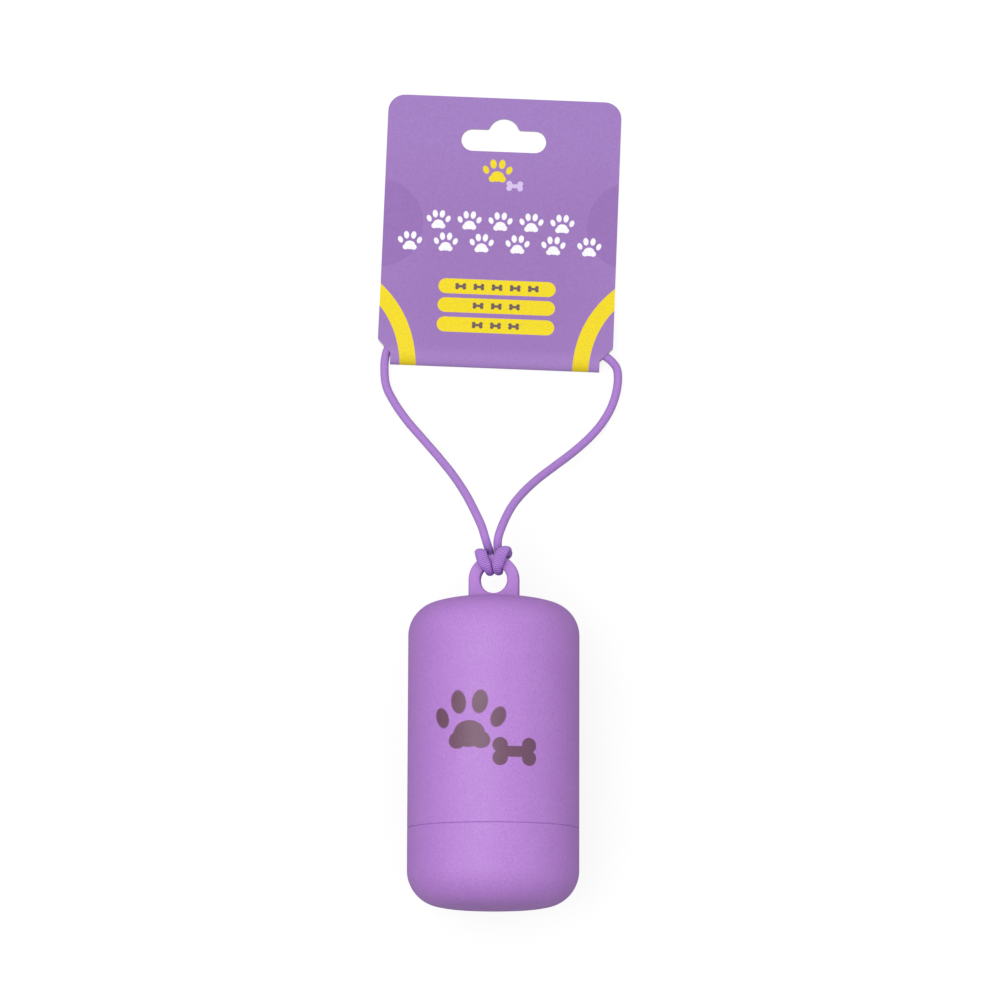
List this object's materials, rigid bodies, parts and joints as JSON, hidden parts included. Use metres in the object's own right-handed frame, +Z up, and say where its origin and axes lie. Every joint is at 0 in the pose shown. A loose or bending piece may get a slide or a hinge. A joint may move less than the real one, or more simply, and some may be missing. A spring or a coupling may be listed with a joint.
{
  "type": "dog waste bag dispenser",
  "caption": "Soft capsule that pulls apart and holds a roll of waste bags, with a cross slit in its base, a hanging lug, an elastic cord loop and a folded header card.",
  "frame": {"origin": "on the surface that the set lies on, at the middle of its outline, with the surface at z = 0", "axes": "+Y from the capsule's base towards the card's upper edge, +Z up from the surface, +X to the right seen from above with the card at the top"},
  "size_m": [0.0642, 0.2176, 0.044],
  "materials": {
    "silicone": "matte soft-touch, lilac",
    "film": "thin wound film with a soft sheen",
    "core_board": "raw grey-brown board",
    "card": "printed satin card, purple",
    "cord": "braided round elastic, lilac"
  },
  "bodies": {
    "dispenser": {"upper_shell": "silicone", "cord_hitch": "cord"},
    "lower_cup": {"lower_cup": "silicone"},
    "bag_roll": {"bag_roll": "film", "roll_core": "core_board"},
    "cord_legs": {"cord_leg_left": "cord", "cord_leg_right": "cord"},
    "header_card": {"header_card": "card", "cord_run": "cord"}
  },
  "joints": [
    {"name": "cup_pull", "type": "slide", "parent": "dispenser", "child": "lower_cup", "axis": [0, -1, 0], "range_m": [0, 0.03]},
    {"name": "roll_spin", "type": "hinge", "parent": "dispenser", "child": "bag_roll", "pos_m": [-0.0012, -0.0706, 0.021], "axis": [0, 1, 0], "continuous": true},
    {"name": "cord_swing", "type": "hinge", "parent": "dispenser", "child": "cord_legs", "pos_m": [-0.00185, -0.013, 0.02192], "axis": [1, 0, 0], "range_deg": [0, 90]},
    {"name": "card_swing", "type": "hinge", "parent": "cord_legs", "child": "header_card", "pos_m": [0.00042, 0.03396, 0.0012], "axis": [0.9993, -0.0366, 0], "range_deg": [0, 90]}
  ]
}
